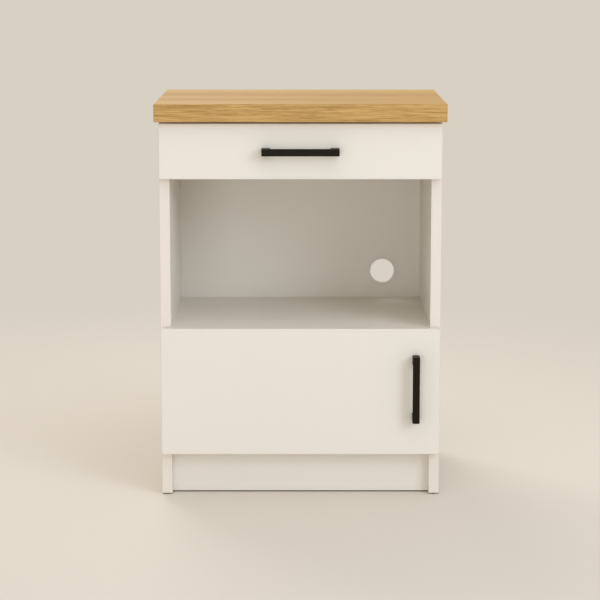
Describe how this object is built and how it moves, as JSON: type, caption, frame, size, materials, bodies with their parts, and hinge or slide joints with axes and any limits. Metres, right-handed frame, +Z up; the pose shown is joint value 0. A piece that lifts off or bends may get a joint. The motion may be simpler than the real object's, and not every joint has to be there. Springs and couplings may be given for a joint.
{
  "type": "microwave cabinet",
  "caption": "Free-standing kitchen cabinet with an oak worktop, a drawer, an open bay for a microwave oven and a low cupboard with a side-hung door.",
  "frame": {"origin": "middle of the outline on the floor", "axes": "+X to the right seen from the front, +Y to the wall, +Z up"},
  "size_m": [0.616, 0.463, 0.85],
  "materials": {
    "white_board": "warm white melamine on chipboard, low sheen, edges banded",
    "oak_worktop": "light oak laminate with a straight grain, satin",
    "black_pull": "matt black powder coat",
    "zinc_fitting": "nickel-plated, half bright",
    "screw_steel": "zinc-plated",
    "runner_coat": "white epoxy coat",
    "roller_nylon": "natural nylon",
    "grommet_plastic": "moulded, fine texture",
    "soft_bumper": "clear grey, soft",
    "glide_plastic": "moulded polyethylene",
    "beech_dowel": "bare, fluted"
  },
  "bodies": {
    "cabinet": {"side_left": "white_board", "side_right": "white_board", "base_panel": "white_board", "bay_shelf": "white_board", "bay_top": "white_board", "front_rail": "white_board", "rear_rail": "white_board", "back_panel": "white_board", "plinth_board": "white_board", "worktop": "oak_worktop", "floor_glides": "glide_plastic", "cam_housings": "zinc_fitting", "cam_bolts": "screw_steel", "dowels": "beech_dowel", "worktop_screws": "screw_steel", "back_panel_screws": "screw_steel", "cable_grommet": "grommet_plastic", "hinge_plates": "zinc_fitting", "hinge_arms": "zinc_fitting", "hinge_plate_screws": "screw_steel", "hinge_arm_screws": "screw_steel", "runner_channel_left": "runner_coat", "runner_channel_right": "runner_coat", "runner_screws": "screw_steel", "front_axles": "screw_steel"},
    "drawer": {"drawer_front": "white_board", "drawer_handle": "black_pull", "drawer_handle_screws": "screw_steel", "drawer_side_left": "white_board", "drawer_side_right": "white_board", "drawer_box_front": "white_board", "drawer_back": "white_board", "drawer_bottom": "white_board", "drawer_front_screws": "screw_steel", "drawer_corner_screws": "screw_steel", "drawer_bumpers": "soft_bumper", "drawer_rail_left": "runner_coat", "drawer_rail_right": "runner_coat", "drawer_rail_screws": "screw_steel", "rear_axles": "screw_steel"},
    "door": {"door_panel": "white_board", "door_handle": "black_pull", "door_handle_screws": "screw_steel", "hinge_cups": "zinc_fitting", "hinge_cup_screws": "screw_steel", "hinge_pins": "screw_steel", "door_bumpers": "soft_bumper"},
    "front_left_roller": {"front_roller_left": "roller_nylon"},
    "front_right_roller": {"front_roller_right": "roller_nylon"},
    "rear_left_roller": {"rear_roller_left": "roller_nylon"},
    "rear_right_roller": {"rear_roller_right": "roller_nylon"}
  },
  "joints": [
    {"name": "drawer_slide", "type": "slide", "parent": "cabinet", "child": "drawer", "axis": [0, -1, 0], "range_m": [0, 0.26]},
    {"name": "door_hinge", "type": "hinge", "parent": "cabinet", "child": "door", "pos_m": [-0.2916, -0.193, 0.2315], "axis": [0, 0, -1], "range_deg": [0, 95]},
    {"name": "front_left_spin", "type": "hinge", "parent": "cabinet", "child": "front_left_roller", "pos_m": [-0.2722, -0.1625, 0.7293], "axis": [1, 0, 0], "continuous": true},
    {"name": "front_right_spin", "type": "hinge", "parent": "cabinet", "child": "front_right_roller", "pos_m": [0.2722, -0.1625, 0.7293], "axis": [1, 0, 0], "continuous": true},
    {"name": "rear_left_spin", "type": "hinge", "parent": "drawer", "child": "rear_left_roller", "pos_m": [-0.2718, 0.1515, 0.7304], "axis": [1, 0, 0], "continuous": true},
    {"name": "rear_right_spin", "type": "hinge", "parent": "drawer", "child": "rear_right_roller", "pos_m": [0.2718, 0.1515, 0.7304], "axis": [1, 0, 0], "continuous": true}
  ],
  "couplings": [
    {"joint": "front_left_spin", "follows": "drawer_slide", "rad_per_m": 105.26},
    {"joint": "front_right_spin", "follows": "drawer_slide", "rad_per_m": 105.26},
    {"joint": "rear_left_spin", "follows": "drawer_slide", "rad_per_m": 90.909},
    {"joint": "rear_right_spin", "follows": "drawer_slide", "rad_per_m": 90.909}
  ]
}
